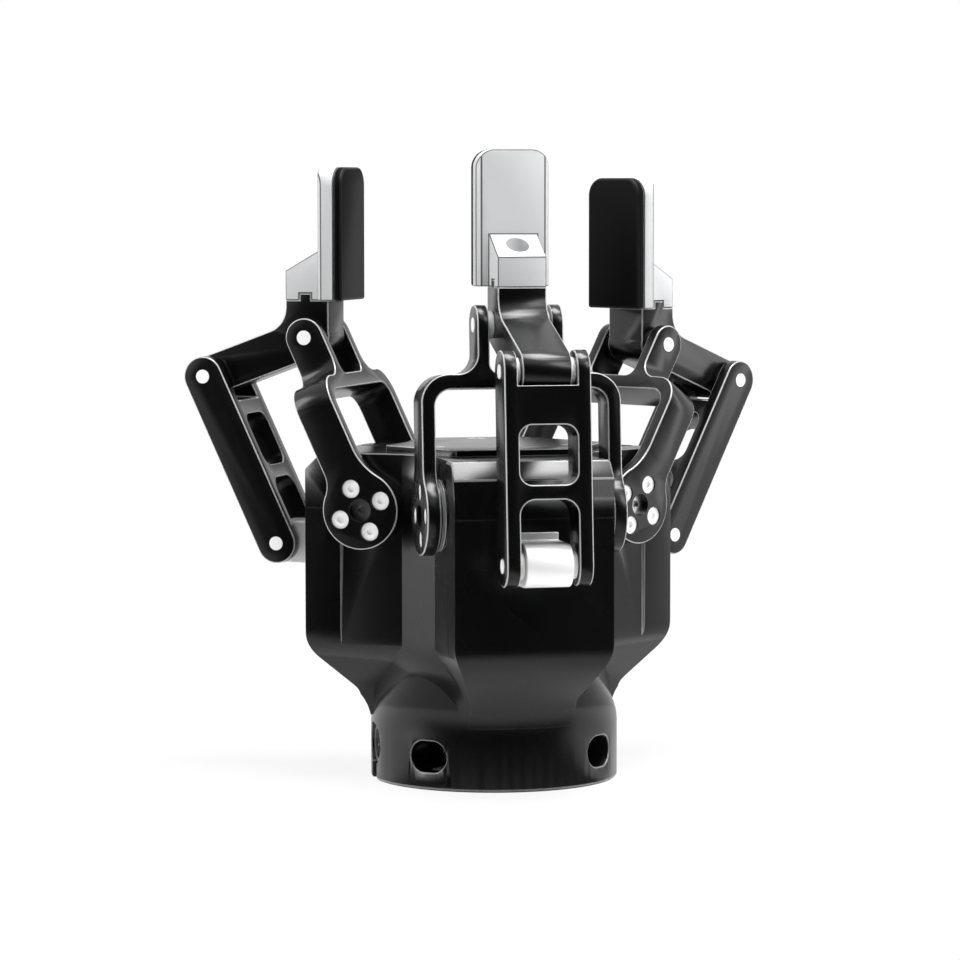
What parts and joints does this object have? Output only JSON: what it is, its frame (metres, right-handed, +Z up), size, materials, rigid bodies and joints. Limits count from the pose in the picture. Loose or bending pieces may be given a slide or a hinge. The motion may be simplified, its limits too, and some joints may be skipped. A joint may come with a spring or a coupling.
{
  "type": "three jaw centric gripper",
  "caption": "Electric centric gripper for a robot flange: parallel-link fingers with rubber-faced tips around a lobed housing.",
  "frame": {"origin": "centre of the base's underside, on the robot flange's axis", "axes": "+Z up along the gripper's axis toward the fingertips; the front finger points to -Y, the left one to 150 degrees and the right one to 30 degrees about Z"},
  "size_m": [0.1834, 0.1338, 0.1901],
  "materials": {
    "black_anodised": "black anodised, satin",
    "silver_aluminium": "machined, fine satin",
    "light_aluminium": "clear anodised, matt",
    "steel": "ground",
    "bright_steel": "bright nickel plated",
    "bronze": "machined",
    "white_plastic": "satin",
    "board_green": "satin",
    "pad_rubber": "matt"
  },
  "bodies": {
    "housing": {"housing_base": "black_anodised", "housing_body": "black_anodised", "housing_cap": "black_anodised", "housing_screws": "steel", "palm_plate": "black_anodised", "shaft_bearings": "steel", "motor_plate": "silver_aluminium", "control_board": "board_green", "mounting_flange": "silver_aluminium", "connector": "steel", "front_link_bracket": "light_aluminium", "front_motor": "steel", "left_link_bracket": "light_aluminium", "left_motor": "steel", "right_link_bracket": "light_aluminium", "right_motor": "steel"},
    "front_crank": {"front_crank": "black_anodised", "front_crank_screws": "bright_steel", "front_crank_shaft": "steel", "front_crank_hubs": "black_anodised", "front_worm_wheel": "bronze", "front_crank_pin": "bright_steel"},
    "front_link": {"front_outer_link": "black_anodised", "front_link_pins": "bright_steel", "front_link_bushes": "white_plastic"},
    "front_knuckle": {"front_knuckle": "black_anodised", "front_fingertip": "silver_aluminium", "front_fingertip_screw": "steel", "front_rubber_pad": "pad_rubber"},
    "front_worm": {"front_worm": "steel"},
    "left_crank": {"left_crank": "black_anodised", "left_crank_screws": "bright_steel", "left_crank_shaft": "steel", "left_crank_hubs": "black_anodised", "left_worm_wheel": "bronze", "left_crank_pin": "bright_steel"},
    "left_link": {"left_outer_link": "black_anodised", "left_link_pins": "bright_steel", "left_link_bushes": "white_plastic"},
    "left_knuckle": {"left_knuckle": "black_anodised", "left_fingertip": "silver_aluminium", "left_fingertip_screw": "steel", "left_rubber_pad": "pad_rubber"},
    "left_worm": {"left_worm": "steel"},
    "right_crank": {"right_crank": "black_anodised", "right_crank_screws": "bright_steel", "right_crank_shaft": "steel", "right_crank_hubs": "black_anodised", "right_worm_wheel": "bronze", "right_crank_pin": "bright_steel"},
    "right_link": {"right_outer_link": "black_anodised", "right_link_pins": "bright_steel", "right_link_bushes": "white_plastic"},
    "right_knuckle": {"right_knuckle": "black_anodised", "right_fingertip": "silver_aluminium", "right_fingertip_screw": "steel", "right_rubber_pad": "pad_rubber"},
    "right_worm": {"right_worm": "steel"}
  },
  "joints": [
    {"name": "front_crank_hinge", "type": "hinge", "parent": "housing", "child": "front_crank", "pos_m": [0, -0.03275, 0.0825], "axis": [1, 0, 0], "range_deg": [-10.5, 44]},
    {"name": "front_link_hinge", "type": "hinge", "parent": "housing", "child": "front_link", "pos_m": [0, -0.06575, 0.07025], "axis": [1, 0, 0], "range_deg": [-10.5, 44]},
    {"name": "front_knuckle_hinge", "type": "hinge", "parent": "front_crank", "child": "front_knuckle", "pos_m": [0, -0.02884, 0.13836], "axis": [1, 0, 0], "range_deg": [-44, 10.5]},
    {"name": "front_worm_spin", "type": "hinge", "parent": "housing", "child": "front_worm", "pos_m": [0, -0.01675, 0.0825], "axis": [0, 0, 1], "range_deg": [-232, 969]},
    {"name": "left_crank_hinge", "type": "hinge", "parent": "housing", "child": "left_crank", "pos_m": [-0.02836, 0.01638, 0.0825], "axis": [-0.5, -0.866, 0], "range_deg": [-39.5, 15]},
    {"name": "left_link_hinge", "type": "hinge", "parent": "housing", "child": "left_link", "pos_m": [-0.05694, 0.03288, 0.07025], "axis": [-0.5, -0.866, 0], "range_deg": [-39.5, 15]},
    {"name": "left_knuckle_hinge", "type": "hinge", "parent": "left_crank", "child": "left_knuckle", "pos_m": [-0.04886, 0.02821, 0.13325], "axis": [-0.5, -0.866, 0], "range_deg": [-15, 39.5]},
    {"name": "left_worm_spin", "type": "hinge", "parent": "housing", "child": "left_worm", "pos_m": [-0.01451, 0.00838, 0.0825], "axis": [0, 0, 1], "range_deg": [-870, 331]},
    {"name": "right_crank_hinge", "type": "hinge", "parent": "housing", "child": "right_crank", "pos_m": [0.02836, 0.01638, 0.0825], "axis": [-0.5, 0.866, 0], "range_deg": [-46.5, 8]},
    {"name": "right_link_hinge", "type": "hinge", "parent": "housing", "child": "right_link", "pos_m": [0.05694, 0.03288, 0.07025], "axis": [-0.5, 0.866, 0], "range_deg": [-46.5, 8]},
    {"name": "right_knuckle_hinge", "type": "hinge", "parent": "right_crank", "child": "right_knuckle", "pos_m": [0.05406, 0.03121, 0.12999], "axis": [-0.5, 0.866, 0], "range_deg": [-8, 46.5]},
    {"name": "right_worm_spin", "type": "hinge", "parent": "housing", "child": "right_worm", "pos_m": [0.01451, 0.00838, 0.0825], "axis": [0, 0, 1], "range_deg": [-1024, 177]}
  ],
  "couplings": [
    {"joint": "front_link_hinge", "follows": "front_crank_hinge", "ratio": 1},
    {"joint": "front_knuckle_hinge", "follows": "front_crank_hinge", "ratio": -1},
    {"joint": "front_worm_spin", "follows": "front_crank_hinge", "ratio": 22},
    {"joint": "left_link_hinge", "follows": "left_crank_hinge", "ratio": 1},
    {"joint": "left_knuckle_hinge", "follows": "left_crank_hinge", "ratio": -1},
    {"joint": "left_worm_spin", "follows": "left_crank_hinge", "ratio": 22},
    {"joint": "right_link_hinge", "follows": "right_crank_hinge", "ratio": 1},
    {"joint": "right_knuckle_hinge", "follows": "right_crank_hinge", "ratio": -1},
    {"joint": "right_worm_spin", "follows": "right_crank_hinge", "ratio": 22}
  ]
}
